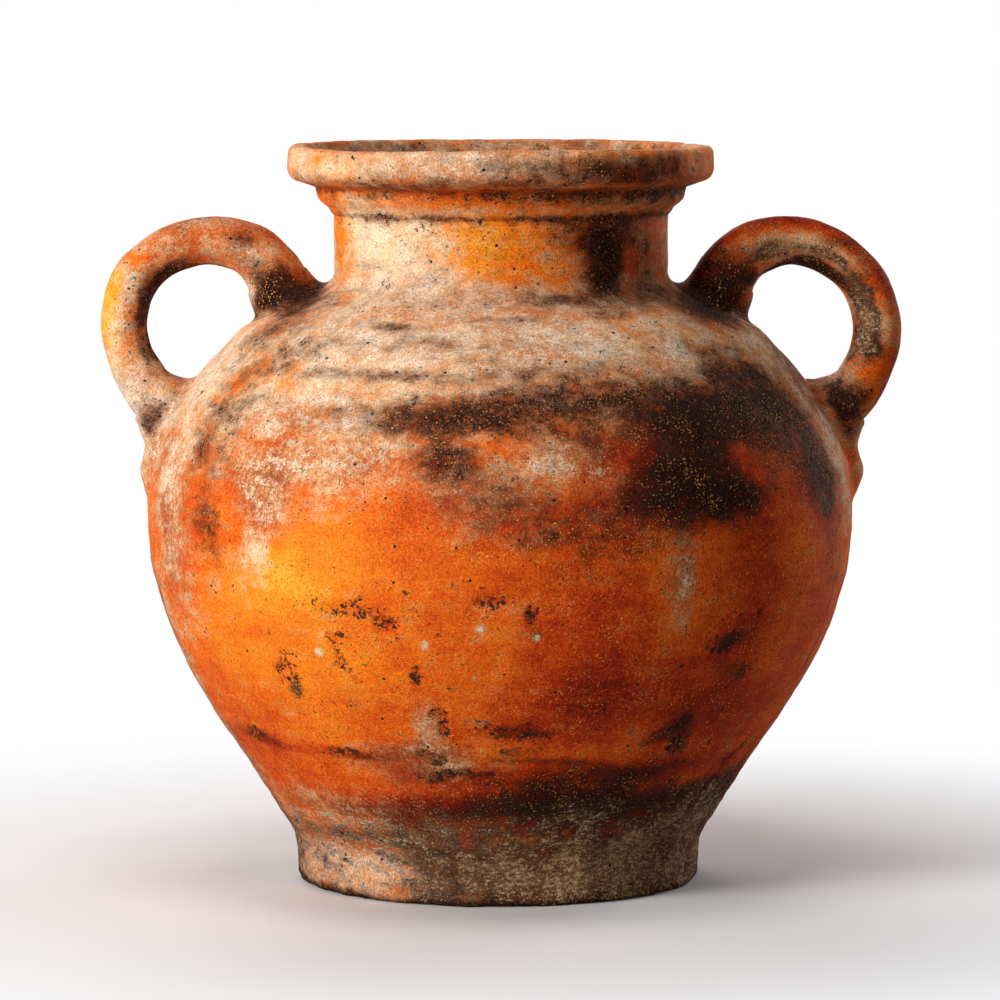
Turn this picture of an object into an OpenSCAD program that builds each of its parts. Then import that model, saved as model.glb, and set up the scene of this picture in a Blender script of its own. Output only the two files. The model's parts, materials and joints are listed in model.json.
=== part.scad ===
// Two-handled terracotta jar, made as a potter makes one: thrown rings, a slab
// floor, pressed seam coils and pulled handles, each a solid of its own.
// Millimetres, +Z up. The origin is the centre of the resting face, and the
// handles lie along X.

/* [Jar] */
// Height from the resting face to the top of the lip
jar_h = 400; // [390:1:410]
// Outer radius of the belly where it is widest
belly_r = 192; // [186:1:198]
// Height of the widest point
belly_z = 203; // [198:1:208]
// Thickness of the thrown wall
wall_t = 10; // [8:0.5:11]

/* [Foot] */
// Outer radius of the foot
foot_r = 109.5; // [106:0.5:113]
// Height of the foot's upright side
foot_h = 14; // [13:0.5:16]
// Radius of the hollow turned under the foot
recess_r = 86; // [80:1:90]
// Depth of that hollow
recess_h = 7; // [5:0.5:8]
// Thickness of the floor slab
floor_t = 12; // [10:0.5:13]

/* [Neck and rim] */
// Outer radius of the neck
neck_r = 90.5; // [88:0.5:93]
// Inner radius of the neck, the seat of a stopper
neck_bore_r = 81; // [79:0.5:83]
// Height of the straight neck wall
neck_h = 33; // [30:0.5:35]
// How far the collar stands out from the neck
collar_out = 10; // [8:0.5:11]
// Height of the collar
collar_h = 14; // [13:0.5:15]
// Outer radius of the lip
lip_r = 115.5; // [113:0.5:118]
// Height of the lip
lip_h = 22; // [20:0.5:24]

/* [Handles] */
// Half thickness of a handle at its outermost point
rod_t = 12.7; // [11:0.1:14]
// Half width of a handle at its outermost point
rod_w = 14.5; // [12:0.1:16]
// How far the smeared clay stands proud of a handle's upper end
root_skirt = 3; // [2:0.5:4]

/* [Hidden] */

clay = "#c8642d";
clay_pale = "#cf9a72";
clay_dark = "#6b4836";
clay_inside = "#a5562f";

seat_fn = 96;   // facets of the jar where handle clay is pressed on to it
coil_r = 6.4;   // radius of a rolled seam coil before it is pressed flat
coil_sunk = 3;  // how far the coil's centre lies behind the inner wall
corner_r = 9;   // size of the coil in the corner between floor and wall

lip_z = jar_h - lip_h;
collar_z = lip_z - collar_h - 1.5;
neck_z = collar_z - neck_h + 1.5;
mouth_low_r = neck_bore_r + 12; // the mouth where the neck meets the lip
mouth_top_r = lip_r - 7.5;      // the mouth at the top of the lip

// The outline of the wall from foot to belly, as shares of the run between them.
FOOT_TO_BELLY = [
    [0, 0], [0.03, 0.06], [0.14, 0.14], [0.34, 0.275], [0.545, 0.405],
    [0.72, 0.535], [0.87, 0.675], [0.96, 0.81], [0.995, 0.91], [1, 1]
];
// The same from just above the belly to the neck.
BELLY_TO_NECK = [
    [0.995, 0.07], [0.96, 0.215], [0.885, 0.375], [0.77, 0.52], [0.62, 0.66],
    [0.46, 0.78], [0.26, 0.865], [0.1, 0.92], [0.02, 0.965], [0, 1]
];
// Anchors of that outline at which one thrown ring is luted to the next.
LOWER_SEAM = 5;
BELLY_SEAM = len(FOOT_TO_BELLY) - 1;
STEPS = 3; // straight lengths between one anchor and the next

// A handle's line in the X-Z plane, from inside the shoulder, up, out and down
// to the belly: X, Z, half thickness and half width.
HANDLE_LINE = [
    [103, 300, 19, 21], [117.5, 318, 17.2, 19], [124.5, 332, 15.8, 17.5],
    [137, 343.5, 14.4, 16], [159, 348.5, 13.3, 15], [182.5, 341, 13, 14.5],
    [198, 326.5, 12.9, 14.5], [205, 305, rod_t, rod_w], [202.5, 287, 12.8, 15],
    [195, 271.5, 14, 16.5], [187, 259, 13.5, 18], [178, 248, 10, 17]
];
// The clay that rounds off the loop's lower corner, between wall and handle.
CORNER_LINE = [[169, 267, 5, 12], [176, 266.3, 7, 14], [184, 261, 9, 16]];
// The clay smeared round a handle's upper end, from the wall outwards.
ROOT_LINE = [
    [104, 301, 19 + root_skirt, 23 + root_skirt],
    [113, 312, 17.5 + root_skirt, 20 + root_skirt],
    [119, 321, 16.8 + root_skirt / 3, 18.5 + root_skirt / 3],
    [122, 327, 15.5, 17]
];
// The strap drawn down the wall from a handle's lower end, with the thumbed
// stop that finishes it.
TAIL_LINE = [
    [192.5, 257, 9, 17], [189.5, 247, 8, 16], [186.5, 238, 8, 14.5],
    [187.6, 230, 7.6, 13.5], [189.4, 222.5, 7.2, 13], [188.5, 216, 6, 10]
];

// The point at share t between b and c on a smooth curve through a, b, c, d.
function between(a, b, c, d, t) =
    0.5 * (2 * b + (c - a) * t + (2 * a - 5 * b + 4 * c - d) * t * t
           + (3 * b - a - 3 * c + d) * t * t * t);

// A smooth curve through the points of a list, with n lengths between each two.
function smooth(p, n) = [
    for (i = [0:len(p) - 2])
        for (k = [0:n - 1])
            between(p[max(i - 1, 0)], p[i], p[i + 1], p[min(i + 2, len(p) - 1)], k / n),
    p[len(p) - 1]
];

// The unit normal of a curve at its point i, to the left of its direction.
function left_of(p, i) =
    let (d = p[min(i + 1, len(p) - 1)] - p[max(i - 1, 0)]) [-d[1], d[0]] / norm(d);

function arc(centre, r, from, to, n = 6) = [
    for (k = [0:n])
        let (a = from + (to - from) * k / n) centre + r * [cos(a), sin(a)]
];

function reversed(p) = [for (i = [len(p) - 1:-1:0]) p[i]];

function slice(p, from, to) = [for (i = [from:to]) p[i]];

OUTLINE = concat(
    [for (s = FOOT_TO_BELLY)
        [foot_r + s[0] * (belly_r - foot_r), foot_h + s[1] * (belly_z - foot_h)]],
    [for (s = BELLY_TO_NECK)
        [neck_r + s[0] * (belly_r - neck_r), belly_z + s[1] * (neck_z - belly_z)]]
);
OUTER = smooth(OUTLINE, STEPS);
INNER = [for (i = [0:len(OUTER) - 1]) OUTER[i] + wall_t * left_of(OUTER, i)];
TOP = len(OUTER) - 1;

// The cross-section of the wall between two anchors of the outline.
module wall_section(from, to) {
    polygon(concat(
        slice(OUTER, from * STEPS, to * STEPS),
        reversed(slice(INNER, from * STEPS, to * STEPS))
    ));
}

// The whole jar as one filled solid, used to seat what is pressed on to it.
module filled_jar() {
    rotate_extrude($fn = seat_fn)
        polygon(concat(
            [[0, 0], [foot_r, 0]],
            OUTER,
            [[neck_r, collar_z], [0, collar_z]]
        ));
}

// A rod of clay along a line of X, Z, half thickness and half width.
module clay_rod(line, n) {
    path = smooth(line, n);
    for (i = [0:len(path) - 2])
        hull() {
            clay_lump(path[i]);
            clay_lump(path[i + 1]);
        }
}

module clay_lump(at) {
    translate([at[0], 0, at[1]])
        scale([at[2], at[3], at[2]])
            sphere(r = 1, $fn = 20);
}

// A coil pressed over a luted seam inside the wall, at an anchor.
module seam_coil(anchor) {
    i = anchor * STEPS;
    rotate_extrude($fn = 180)
        difference() {
            translate(INNER[i] - coil_sunk * left_of(OUTER, i)) circle(r = coil_r, $fn = 48);
            wall_section(anchor - 2, min(anchor + 2, len(OUTLINE) - 1));
        }
}

module foot_ring() {
    seat_r = INNER[0][0];
    color(clay_dark)
        rotate_extrude($fn = 180)
            polygon(concat(
                [[recess_r + 2, 0]],
                arc([foot_r - 3.5, 3.5], 3.5, -90, 0),
                [OUTER[0], INNER[0], [seat_r, recess_h], [recess_r, recess_h], [recess_r, 2]]
            ));
}

module base_disc() {
    color(clay_inside)
        translate([0, 0, recess_h])
            cylinder(r = INNER[0][0], h = floor_t, $fn = 180);
}

module base_seam_coil() {
    floor_z = recess_h + floor_t;
    color(clay_inside)
        rotate_extrude($fn = 180)
            difference() {
                translate([INNER[0][0] - corner_r, floor_z]) square([corner_r + 4, corner_r + 1]);
                translate([INNER[0][0] - corner_r, floor_z + corner_r + 1]) circle(r = corner_r, $fn = 48);
                wall_section(0, 3);
                translate([INNER[3][0] + wall_t / 2, floor_z]) square(20);
            }
}

module lower_wall() {
    color(clay) rotate_extrude($fn = 180) wall_section(0, LOWER_SEAM);
}

module lower_seam_coil() {
    color(clay_inside) seam_coil(LOWER_SEAM);
}

module belly() {
    color(clay) rotate_extrude($fn = 180) wall_section(LOWER_SEAM, BELLY_SEAM);
}

module belly_seam_coil() {
    color(clay_inside) seam_coil(BELLY_SEAM);
}

// The last inner point is the neck's bore, so that the two rings meet flush.
module shoulder() {
    from = BELLY_SEAM * STEPS;
    color(clay_pale)
        rotate_extrude($fn = 180)
            polygon(concat(
                slice(OUTER, from, TOP),
                [[neck_bore_r, neck_z]],
                reversed(slice(INNER, from, TOP - 1))
            ));
}

// A coil in the hollow under the neck, kept clear of the bore.
module neck_seam_coil() {
    at = INNER[TOP - 4];
    color(clay_inside)
        rotate_extrude($fn = 180)
            difference() {
                translate(at - coil_sunk * left_of(OUTER, TOP - 4)) circle(r = coil_r - 0.6, $fn = 48);
                wall_section(len(OUTLINE) - 5, len(OUTLINE) - 1);
            }
}

module neck() {
    color(clay_pale)
        rotate_extrude($fn = 180)
            polygon([
                [neck_bore_r, neck_z], [neck_r, neck_z], [neck_r, collar_z + 1.5],
                [neck_r + collar_out - 2.5, lip_z], [mouth_low_r, lip_z],
                [neck_bore_r, collar_z + 0.5]
            ]);
}

module collar_band() {
    color(clay)
        rotate_extrude($fn = 180)
            polygon([
                [neck_r, collar_z], [neck_r + 2, collar_z + 2],
                [neck_r + 3.5, collar_z + 4.5], [neck_r + 6.5, collar_z + 7],
                [neck_r + 8.5, collar_z + 9.5], [neck_r + 9.3, collar_z + 12.5],
                [neck_r + collar_out, lip_z],
                [neck_r + collar_out - 2.5, lip_z], [neck_r, collar_z + 1.5]
            ]);
}

module rim_lip() {
    color(clay_pale)
        rotate_extrude($fn = 180)
            polygon(concat(
                [[mouth_low_r, lip_z], [neck_r + collar_out, lip_z]],
                arc([lip_r - 7, lip_z + 10], 7, -75, 0),
                arc([lip_r - 4, jar_h - 4], 4, 0, 90),
                arc([mouth_top_r, jar_h - 2.5], 2.5, 90, 150)
            ));
}

// A handle's clay before it is fitted to the wall.
module pulled_handle() {
    clay_rod(HANDLE_LINE, 2);
    clay_rod(CORNER_LINE, 1);
}

module handle() {
    color(clay)
        difference() {
            pulled_handle();
            filled_jar();
        }
}

module handle_root() {
    color(clay_dark)
        difference() {
            clay_rod(ROOT_LINE, 3);
            pulled_handle();
            filled_jar();
        }
}

module handle_tail() {
    color(clay_dark)
        difference() {
            clay_rod(TAIL_LINE, 2);
            pulled_handle();
            filled_jar();
        }
}

module on_left() {
    mirror([1, 0, 0]) children();
}

foot_ring();
base_disc();
base_seam_coil();
lower_wall();
lower_seam_coil();
belly();
belly_seam_coil();
shoulder();
neck_seam_coil();
neck();
collar_band();
rim_lip();
on_left() handle();  // handle_left
handle();  // handle_right
on_left() handle_root();  // handle_left_root
handle_root();  // handle_right_root
on_left() handle_tail();  // handle_left_tail
handle_tail();  // handle_right_tail
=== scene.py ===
"""The looks of a two-handled terracotta jar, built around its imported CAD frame.

Lengths are millimetres until a mesh is written, in the frame's axes: +Z up, handles
along X, and -Y the front. An angle on the jar is in degrees from the front, positive
towards the right-hand handle (+X).
"""
import itertools
import json
import math

import bpy
import numpy as np
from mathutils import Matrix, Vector


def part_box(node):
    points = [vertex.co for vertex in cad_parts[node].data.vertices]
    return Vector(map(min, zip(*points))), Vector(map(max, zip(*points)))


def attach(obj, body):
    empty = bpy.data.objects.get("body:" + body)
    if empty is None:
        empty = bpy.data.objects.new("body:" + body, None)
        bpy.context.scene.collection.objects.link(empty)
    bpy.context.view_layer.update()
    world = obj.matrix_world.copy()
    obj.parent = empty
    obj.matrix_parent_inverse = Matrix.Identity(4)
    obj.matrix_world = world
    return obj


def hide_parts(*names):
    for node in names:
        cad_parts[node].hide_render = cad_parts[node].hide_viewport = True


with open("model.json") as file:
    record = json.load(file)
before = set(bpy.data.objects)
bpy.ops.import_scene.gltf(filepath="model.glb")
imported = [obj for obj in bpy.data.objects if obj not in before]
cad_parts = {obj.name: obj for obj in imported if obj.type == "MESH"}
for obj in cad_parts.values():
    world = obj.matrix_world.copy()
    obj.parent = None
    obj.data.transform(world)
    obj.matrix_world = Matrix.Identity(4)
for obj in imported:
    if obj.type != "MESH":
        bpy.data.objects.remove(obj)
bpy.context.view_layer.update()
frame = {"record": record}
MM = 0.001
SEED = 41
LIT_POINT = (0, 0, 0.22)   # the middle of the jar, in metres, where the lamps point


# ---------------------------------------------------------------- camera and light

def aim(thing, target):
    """Turns a camera or a lamp, which look along their own -Z, towards a point."""
    away = Vector(target) - thing.location
    thing.rotation_mode = "QUATERNION"
    thing.rotation_quaternion = away.to_track_quat("-Z", "Y")


def make_camera():
    """A long lens a little above the rim, level enough to see only a sliver of the mouth."""
    lens = bpy.data.cameras.new("camera")
    lens.sensor_width = 36
    lens.lens = 192.1
    lens.clip_end = 50
    camera = bpy.data.objects.new("camera", lens)
    camera.location = (-0.0005, -2.9, 0.485)
    aim(camera, (-0.0005, 0, 0.2065))
    bpy.context.scene.collection.objects.link(camera)
    bpy.context.scene.camera = camera


def softbox(name, place, size, power, colour):
    """A rectangular area lamp that faces the middle of the jar."""
    light = bpy.data.lights.new(name, "AREA")
    light.shape = "RECTANGLE"
    light.size, light.size_y = size
    light.energy = power
    light.color = colour
    lamp = bpy.data.objects.new(name, light)
    lamp.location = place
    aim(lamp, LIT_POINT)
    bpy.context.scene.collection.objects.link(lamp)


def make_studio():
    """A white sweep lit by a warm key from the front left, with weak fills all round."""
    softbox("key", (-1.95, -1.6, 0.95), (1.0, 1.3), 66, (1.0, 0.94, 0.86))
    softbox("overhead", (-0.1, -0.5, 2.5), (1.2, 0.9), 15, (1.0, 0.95, 0.88))
    softbox("edge_left", (-1.7, 0.8, 0.7), (0.6, 1.4), 3.5, (1.0, 0.95, 0.9))
    softbox("fill_right", (1.9, -0.9, 0.6), (1.0, 1.4), 2.5, (1.0, 0.9, 0.8))
    softbox("edge_right", (1.45, 1.45, 0.8), (0.5, 1.4), 15, (1.0, 0.94, 0.88))
    softbox("back", (-0.6, 2.4, 1.2), (1.4, 1.4), 30, (1.0, 0.95, 0.9))
    world = bpy.data.worlds.new("studio")
    world.use_nodes = True
    tree = world.node_tree
    tree.nodes.clear()
    seen = tree.nodes.new("ShaderNodeBackground")
    seen.inputs["Color"].default_value = (1, 1, 1, 1)
    lit = tree.nodes.new("ShaderNodeBackground")
    lit.inputs["Color"].default_value = (1.0, 0.96, 0.92, 1)
    lit.inputs["Strength"].default_value = 0.09
    path = tree.nodes.new("ShaderNodeLightPath")
    pick = tree.nodes.new("ShaderNodeMixShader")
    out = tree.nodes.new("ShaderNodeOutputWorld")
    tree.links.new(path.outputs["Is Camera Ray"], pick.inputs["Fac"])
    tree.links.new(lit.outputs[0], pick.inputs[1])
    tree.links.new(seen.outputs[0], pick.inputs[2])
    tree.links.new(pick.outputs[0], out.inputs["Surface"])
    bpy.context.scene.world = world
    bpy.context.scene.view_settings.view_transform = "Standard"


# ---------------------------------------------------------------- noise and small tools

CUBE = list(itertools.product((0, 1), repeat=3))


def lattice_value(cell, seed):
    """A fixed random number from -1 to 1 for each whole-number cell."""
    h = cell[..., 0] * 374761393 + cell[..., 1] * 668265263 + cell[..., 2] * 1440670441
    h = (h + seed * 144665) & 0xFFFFFFFF
    h = ((h ^ (h >> 13)) * 1274126177) & 0xFFFFFFFF
    h = ((h ^ (h >> 16)) * 1103515245) & 0xFFFFFFFF
    return ((h >> 8) & 0xFFFF) / 32767.5 - 1


def smooth_noise(points, size, seed):
    """Smooth noise from -1 to 1, with features about size millimetres across."""
    p = points / size
    cell = np.floor(p).astype(np.int64)
    f = p - cell
    f = f * f * f * (f * (f * 6 - 15) + 10)
    total = np.zeros(points.shape[:-1])
    for corner in CUBE:
        share = 1
        for axis in range(3):
            share = share * (f[..., axis] if corner[axis] else 1 - f[..., axis])
        total += share * lattice_value(cell + np.array(corner), seed)
    return total


def layered(points, size, seed, octaves=4, rough=0.5):
    """Several octaves of smooth noise, each half the size of the last."""
    total, reach, weight = 0, 0, 1
    for k in range(octaves):
        total = total + weight * smooth_noise(points, size / 2 ** k, SEED + seed + 17 * k)
        reach += weight
        weight *= rough
    return total / reach * 1.6


def ramp(x, low, high):
    """0 below low, 1 above high, smooth between."""
    t = np.clip((x - low) / (high - low), 0, 1)
    return t * t * (3 - 2 * t)


def unit(vectors):
    """The same directions with a length of one."""
    return vectors / np.maximum(np.linalg.norm(vectors, axis=-1), 1e-9)[..., None]


def run_along(points):
    """How far along a line each of its points lies."""
    return np.concatenate([[0], np.cumsum(np.linalg.norm(np.diff(points, axis=0), axis=1))])


def turn_between(angles, angle):
    """Degrees from one angle to others, from -180 to 180."""
    return (angles - angle + 180) % 360 - 180


# ---------------------------------------------------------------- the jar's outline

def corners_of(node):
    """The low and high corners of a CAD node's box, in millimetres."""
    low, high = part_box(node)
    return np.array(low) / MM, np.array(high) / MM


FOOT_R, _, FOOT_H = corners_of("foot_ring")[1]
BELLY_R, _, BELLY_Z = corners_of("belly")[1]
NECK_Z = corners_of("neck")[0][2]
COLLAR_Z = corners_of("collar_band")[0][2]
COLLAR_R = corners_of("collar_band")[1][0]
LIP_Z = corners_of("rim_lip")[0][2]
LIP_R, _, JAR_H = corners_of("rim_lip")[1]
SLAB_R, _, FLOOR_Z = corners_of("base_disc")[1]
RECESS_Z = corners_of("base_disc")[0][2]
BORE_R = next(m["dims"]["r_mm"] for m in frame["record"]["mounts"] if m["name"] == "neck_bore")
NECK_R = COLLAR_R - 10
WALL = FOOT_R - SLAB_R
RECESS_R = 86
MOUTH_LOW_R = BORE_R + 12
MOUTH_TOP_R = LIP_R - 7.5
FOOT_ROUND = 3.5     # the radii that the foot, the lip and the mouth are rounded with
LIP_ROUND = 7
RIM_ROUND = 4
MOUTH_ROUND = 2.5

# The outline of the wall as shares of its runs: foot to belly, then belly to neck.
FOOT_TO_BELLY = [
    (0, 0), (0.03, 0.06), (0.14, 0.14), (0.34, 0.275), (0.545, 0.405),
    (0.72, 0.535), (0.87, 0.675), (0.96, 0.81), (0.995, 0.91), (1, 1),
]
BELLY_TO_NECK = [
    (0.995, 0.07), (0.96, 0.215), (0.885, 0.375), (0.77, 0.52), (0.62, 0.66),
    (0.46, 0.78), (0.26, 0.865), (0.1, 0.92), (0.02, 0.965), (0, 1),
]
# The collar's profile, out and up from the top of the neck.
COLLAR_STEPS = [(2, 2), (3.5, 4.5), (6.5, 7), (8.5, 9.5), (9.3, 12.5)]
LOWER_SEAM = 5
BELLY_SEAM = len(FOOT_TO_BELLY) - 1
NECK_SEAM = BELLY_SEAM + len(BELLY_TO_NECK)
ANCHORS = np.array(
    [(FOOT_R + a * (BELLY_R - FOOT_R), FOOT_H + b * (BELLY_Z - FOOT_H)) for a, b in FOOT_TO_BELLY]
    + [(NECK_R + a * (BELLY_R - NECK_R), BELLY_Z + b * (NECK_Z - BELLY_Z)) for a, b in BELLY_TO_NECK]
)


def smooth_line(points, steps):
    """A Catmull-Rom curve through points, with steps lengths between each two."""
    p = np.asarray(points, float)
    p = np.vstack([p[0], p, p[-1]])
    made = []
    for i in range(1, len(p) - 2):
        a, b, c, d = p[i - 1:i + 3]
        for t in np.arange(steps) / steps:
            made.append(0.5 * (2 * b + (c - a) * t + (2 * a - 5 * b + 4 * c - d) * t * t
                               + (3 * b - a - 3 * c + d) * t ** 3))
    made.append(p[-1])
    return np.array(made)


def arc(centre, r, start, end, n=10):
    """Points on an arc, from one angle to another in degrees."""
    turn = np.radians(np.linspace(start, end, n + 1))
    return np.stack([centre[0] + r * np.cos(turn), centre[1] + r * np.sin(turn)], 1)


def evenly(points, spacing):
    """The same line with its points an even distance apart, close to spacing."""
    p = np.asarray(points, float)
    run = run_along(p)
    n = max(1, round(run[-1] / spacing))
    at = np.linspace(0, run[-1], n + 1)
    return np.stack([np.interp(at, run, p[:, k]) for k in range(p.shape[1])], 1)


def left_normals(line):
    """Unit normals to the left of a line's direction."""
    d = unit(np.gradient(line, axis=0))
    return np.stack([-d[:, 1], d[:, 0]], 1)


CURVE_STEPS = 12
WALL_LINE = smooth_line(ANCHORS, CURVE_STEPS)
INNER_LINE = WALL_LINE + WALL * left_normals(WALL_LINE)
INNER_LINE[-1] = (BORE_R, NECK_Z)


def wall_part(line, start, end):
    """The stretch of a wall's curve between two of its anchors."""
    return line[start * CURVE_STEPS:end * CURVE_STEPS + 1]


# Each stretch of the outside, from under the foot round the lip into the neck, with
# the spacing of its rows.
OUTSIDE = {
    "foot_ring": (np.vstack([[(RECESS_R, RECESS_Z), (RECESS_R, 2), (RECESS_R + 2, 0)],
                             arc((FOOT_R - FOOT_ROUND, FOOT_ROUND), FOOT_ROUND, -90, 0),
                             [(FOOT_R, FOOT_H)]]), 1.3),
    "lower_wall": (wall_part(WALL_LINE, 0, LOWER_SEAM), 1.5),
    "belly": (wall_part(WALL_LINE, LOWER_SEAM, BELLY_SEAM), 1.5),
    "shoulder": (wall_part(WALL_LINE, BELLY_SEAM, NECK_SEAM), 2.0),
    "neck": (np.array([(NECK_R, NECK_Z), (NECK_R, COLLAR_Z)]), 1.5),
    "collar_band": (np.vstack([
        [(NECK_R, COLLAR_Z)],
        smooth_line([(NECK_R + out, COLLAR_Z + up) for out, up in COLLAR_STEPS], 5),
        [(COLLAR_R, LIP_Z)]]), 0.8),
    "rim_lip": (np.vstack([[(COLLAR_R, LIP_Z)],
                           arc((LIP_R - LIP_ROUND, LIP_Z + 10), LIP_ROUND, -75, 0),
                           arc((LIP_R - RIM_ROUND, JAR_H - RIM_ROUND), RIM_ROUND, 0, 90),
                           arc((MOUTH_TOP_R, JAR_H - MOUTH_ROUND), MOUTH_ROUND, 90, 150),
                           [(MOUTH_LOW_R, LIP_Z)]]), 1.1),
    "neck_inside": (np.array([(MOUTH_LOW_R, LIP_Z), (BORE_R, COLLAR_Z + 0.5), (BORE_R, NECK_Z)]), 1.8),
}
# Each stretch of the inside, from the floor's corner up to the neck.
INSIDE = {
    "lower_wall": (wall_part(INNER_LINE, 0, LOWER_SEAM), 5),
    "belly": (wall_part(INNER_LINE, LOWER_SEAM, BELLY_SEAM), 5),
    "shoulder": (wall_part(INNER_LINE, BELLY_SEAM, NECK_SEAM), 5),
}
COLUMNS = 800
ANGLES = np.arange(COLUMNS) * 360 / COLUMNS - 180
ROUND = np.stack([np.sin(np.radians(ANGLES)), -np.cos(np.radians(ANGLES))], 1)


class Skin:
    """One side of the wall as a grid: rows along its outline, columns round the jar."""

    def __init__(self, stretches, facing):
        lines, self.rows, start = [], {}, 0
        for name, (points, spacing) in stretches.items():
            line = evenly(points, spacing)
            self.rows[name] = (start, start + len(line) - 1)
            start += len(line) - 1
            lines.append(line[:-1])
        self.line = np.vstack([*lines, line[-1:]])
        self.normal = facing * left_normals(self.line)
        self.run = run_along(self.line)
        self.facing = facing
        self.rest = self.lifted(np.zeros((len(self.line), COLUMNS)))

    def lifted(self, lift):
        """The grid's points, each moved by lift millimetres along the outline's normal."""
        r = self.line[:, :1] + lift * self.normal[:, :1]
        z = self.line[:, 1:] + lift * self.normal[:, 1:]
        return np.stack([r * ROUND[:, 0], r * ROUND[:, 1], z], -1)

    def shading_normals(self, points):
        """Normals of the skin once its points have moved."""
        up = np.gradient(points, axis=0)
        across = np.roll(points, -1, 1) - np.roll(points, 1, 1)
        return unit(self.facing * np.cross(up, across))

    def on_wheel(self, across):
        """Points for noise that runs round the jar, with across millimetres as one there."""
        x, y = self.rest[..., 0], self.rest[..., 1]
        return np.stack([x / across, y / across, self.run[:, None] + 0 * x], -1)


outer = Skin(OUTSIDE, -1)
inner = Skin(INSIDE, 1)
TOP_ROW = int(np.argmax(outer.line[:, 1]))
BED_ROW = int(np.argmax(outer.line[:, 0] > RECESS_R + 5))
RISING = slice(BED_ROW, TOP_ROW + 1)


def at_height(z, values):
    """What the rows of the outer wall hold, read at heights z."""
    return np.interp(z, outer.line[RISING, 1], values[RISING])


def band(run, reach):
    """A soft band round the jar, at a place along its outline."""
    return np.exp(-((outer.run - run) / reach) ** 2)[:, None]


# ---------------------------------------------------------------- stains, damage, painted shade and sheen

class Coat:
    """What lies on a surface, each as a value at every point: firing is the clay's colour
    from charred (0) through red and orange (0.5) to golden (1), and bloom, soot, crust
    and grime are how much pale lime, carbon, soil and dirt cover it; the soot and grime
    also hold painted shade in the grooves, under the lip, in the mouth and at the handle
    joints, and the bloom holds painted sheen down the sides."""
    NAMES = ("firing", "bloom", "soot", "crust", "grime")

    def __init__(self, points, **levels):
        for name in self.NAMES:
            setattr(self, name, np.full(points.shape[:-1], float(levels.get(name, 0))))


def coat_of(value_of):
    """A coat with each of its fields made by a function of the field's name."""
    made = Coat(np.zeros((0, 3)))
    for name in Coat.NAMES:
        setattr(made, name, value_of(name))
    return made


def lay(field, cover):
    """Lays a cover on a field in place, less of it where the field is already full."""
    field += cover * (1 - field)


RAGGED = [layered(outer.rest, 44, 90 + 7 * k, 4, 0.6) for k in range(3)]
FRAYED = layered(outer.rest, 8, 120, 3, 0.7)
Z = outer.line[:, 1:] + np.zeros((1, COLUMNS))


def distance_from(angle, z, width, height, tilt=0):
    """Distance over the skin from a spot, as shares of its half width and half height."""
    across = np.radians(turn_between(ANGLES, angle))[None, :] * outer.line[:, :1]
    up = (outer.run - at_height(z, outer.run))[:, None]
    turn = math.radians(tilt)
    a = (across * math.cos(turn) + up * math.sin(turn)) / width
    b = (up * math.cos(turn) - across * math.sin(turn)) / height
    return np.hypot(a, b)


def patches(stains):
    """Each stain as a soft ragged patch, full at its middle and half faded at its edge."""
    for number, (angle, z, width, height, strength, *tilt) in enumerate(stains):
        far = distance_from(angle, z, width, height, *tilt) * (1 + 0.35 * RAGGED[number % 3])
        yield strength * (1 - ramp(far, 0.2, 1.7))
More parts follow.
